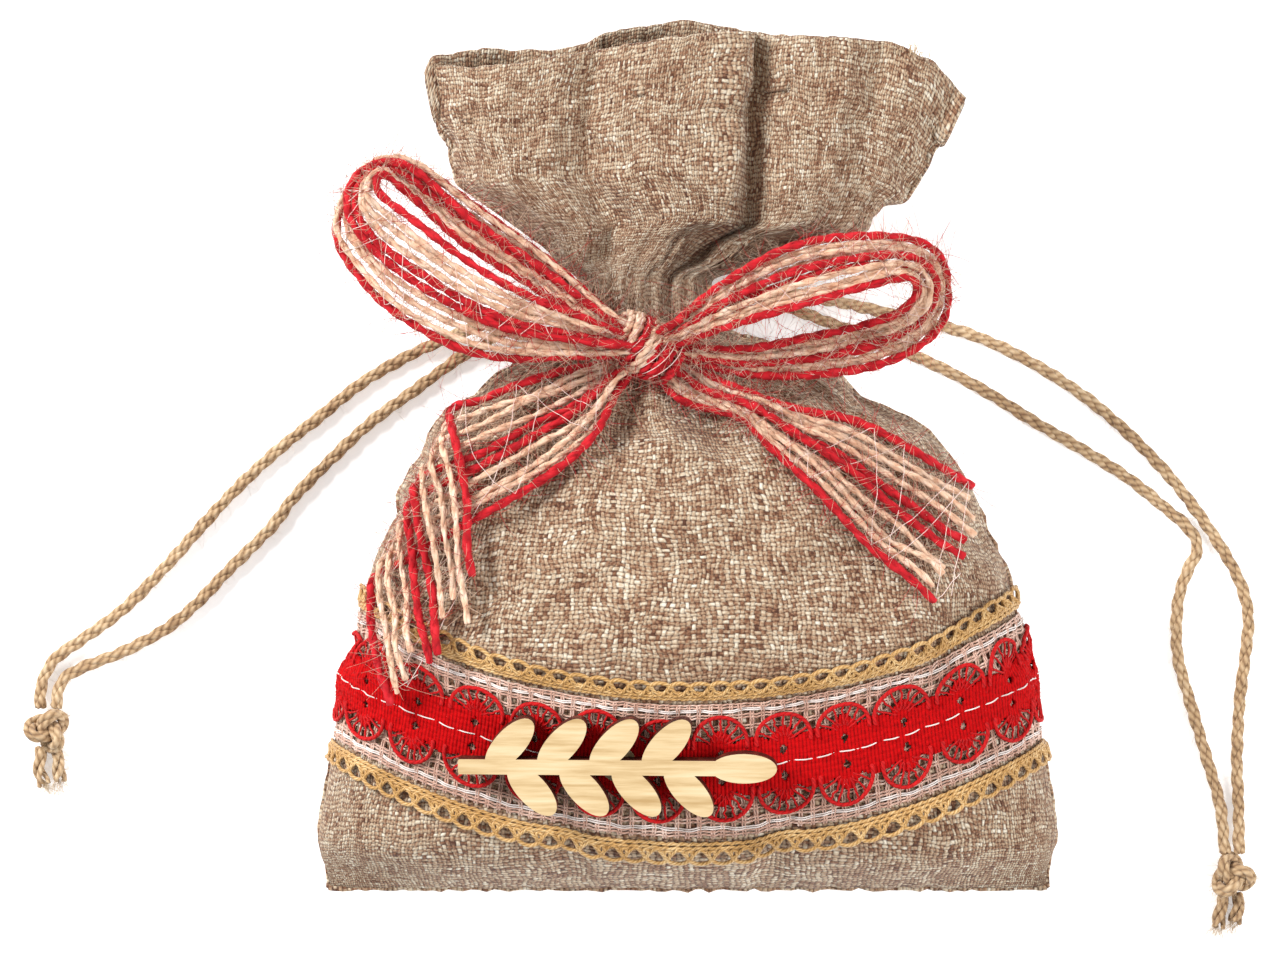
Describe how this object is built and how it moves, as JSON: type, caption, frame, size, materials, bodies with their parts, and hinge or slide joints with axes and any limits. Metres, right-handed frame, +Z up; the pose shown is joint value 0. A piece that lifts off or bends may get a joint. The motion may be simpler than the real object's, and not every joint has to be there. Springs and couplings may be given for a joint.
{
  "type": "drawstring gift pouch",
  "caption": "Filled burlap drawstring gift pouch with a gathered frill, two drawstrings, a yarn ribbon bow and a lace band with a wooden sprig.",
  "frame": {"origin": "under the middle of the pouch, on the table that its back lies on", "axes": "+X to the pouch's right as seen from above, +Y from the bottom seam to the mouth, +Z up through the front"},
  "size_m": [0.1745, 0.1285, 0.0332],
  "materials": {
    "burlap": "plain woven burlap",
    "burlap_seam": "sewn burlap edge",
    "jute_net": "open knotted jute net",
    "red_cotton": "crocheted cotton",
    "gold_braid": "twisted lurex braid",
    "white_thread": "shiny rayon thread",
    "maple": "laser cut plywood",
    "glue": "clear hot melt glue",
    "ribbon": "red and natural jute yarns",
    "jute_cord": "twisted jute cord"
  },
  "bodies": {
    "pouch": {"front_panel": "burlap", "back_panel": "burlap", "left_side_seam": "burlap_seam", "right_side_seam": "burlap_seam", "bottom_seam": "burlap_seam", "front_casing": "burlap", "back_casing": "burlap", "front_frill": "burlap", "back_frill": "burlap", "net_band": "jute_net", "red_lace": "red_cotton", "lace_stitch": "white_thread", "upper_gold_braid": "gold_braid", "lower_gold_braid": "gold_braid", "upper_white_thread": "white_thread", "lower_white_thread": "white_thread", "wooden_sprig": "maple", "sprig_glue": "glue", "bow_glue": "glue", "bow_knot": "ribbon"},
    "left_bow_loop": {"left_bow_loop": "ribbon"},
    "right_bow_loop": {"right_bow_loop": "ribbon"},
    "left_bow_tail": {"left_bow_tail": "ribbon"},
    "right_bow_tail": {"right_bow_tail": "ribbon"},
    "left_drawstring": {"left_drawstring": "jute_cord", "left_drawstring_knot": "jute_cord", "left_drawstring_ends": "jute_cord"},
    "right_drawstring": {"right_drawstring": "jute_cord", "right_drawstring_knot": "jute_cord", "right_drawstring_ends": "jute_cord"}
  },
  "joints": [
    {"name": "left_drawstring_pull", "type": "slide", "parent": "pouch", "child": "left_drawstring", "axis": [-1, 0, 0], "range_m": [0, 0.0024]},
    {"name": "right_drawstring_pull", "type": "slide", "parent": "pouch", "child": "right_drawstring", "axis": [1, 0, 0], "range_m": [0, 0.0024]},
    {"name": "left_loop_lift", "type": "hinge", "parent": "pouch", "child": "left_bow_loop", "pos_m": [-0.0117, 0.0166, 0.0253], "axis": [0.4108, 0.9117, 0], "range_deg": [0, 30]},
    {"name": "right_loop_lift", "type": "hinge", "parent": "pouch", "child": "right_bow_loop", "pos_m": [-0.0003, 0.0164, 0.0253], "axis": [0.1701, -0.9854, 0], "range_deg": [0, 30]},
    {"name": "left_tail_lift", "type": "hinge", "parent": "pouch", "child": "left_bow_tail", "pos_m": [-0.0114, 0.0112, 0.0208], "axis": [-0.5593, 0.829, 0], "range_deg": [0, 25]},
    {"name": "right_tail_lift", "type": "hinge", "parent": "pouch", "child": "right_bow_tail", "pos_m": [-0.0006, 0.0112, 0.0208], "axis": [-0.5291, -0.8486, 0], "range_deg": [0, 25]}
  ]
}
